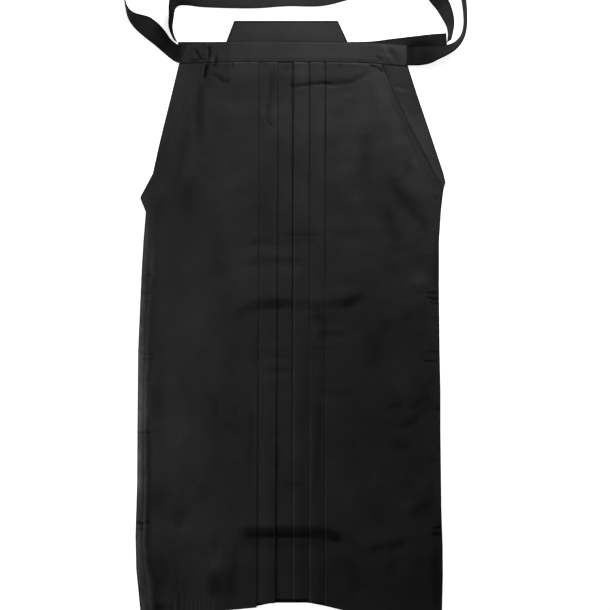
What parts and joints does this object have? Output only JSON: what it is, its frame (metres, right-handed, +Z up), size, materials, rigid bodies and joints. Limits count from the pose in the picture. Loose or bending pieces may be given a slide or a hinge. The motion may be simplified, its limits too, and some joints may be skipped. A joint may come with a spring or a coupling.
{
  "type": "hakama trousers",
  "caption": "Black pleated Japanese hakama trousers laid flat, front upwards, with a stiff back board, a front waistband and loose tying belts.",
  "frame": {"origin": "On the surface the garment lies on, on its middle line, under the legs and 60 mm below the front waistband's lower seam.", "axes": "+X to the right as seen from above, which is the wearer's left. +Y from the hem towards the waist. +Z up, away from the surface and out of the garment's front."},
  "size_m": [0.5927, 1.4765, 0.0351],
  "materials": {
    "leg_cloth": "black plain weave with a slight sheen and pressed pleats",
    "board_cloth": "black plain weave drawn smooth over a stiff board",
    "belt_cloth": "black plain weave, folded and stitched into a flat band"
  },
  "bodies": {
    "root": {"back_leg_left": "leg_cloth", "back_leg_right": "leg_cloth", "front_leg_left": "leg_cloth", "front_leg_right": "leg_cloth", "back_board": "board_cloth", "front_waistband": "belt_cloth", "back_belt_left": "belt_cloth", "back_belt_left_top": "belt_cloth", "back_belt_right": "belt_cloth", "back_belt_right_top": "belt_cloth", "front_belt_left": "belt_cloth", "front_belt_left_side": "belt_cloth", "front_belt_left_row": "belt_cloth", "front_belt_left_return": "belt_cloth", "front_belt_right": "belt_cloth", "front_belt_right_side": "belt_cloth", "front_belt_right_row": "belt_cloth", "front_belt_right_return": "belt_cloth"}
  },
  "joints": []
}
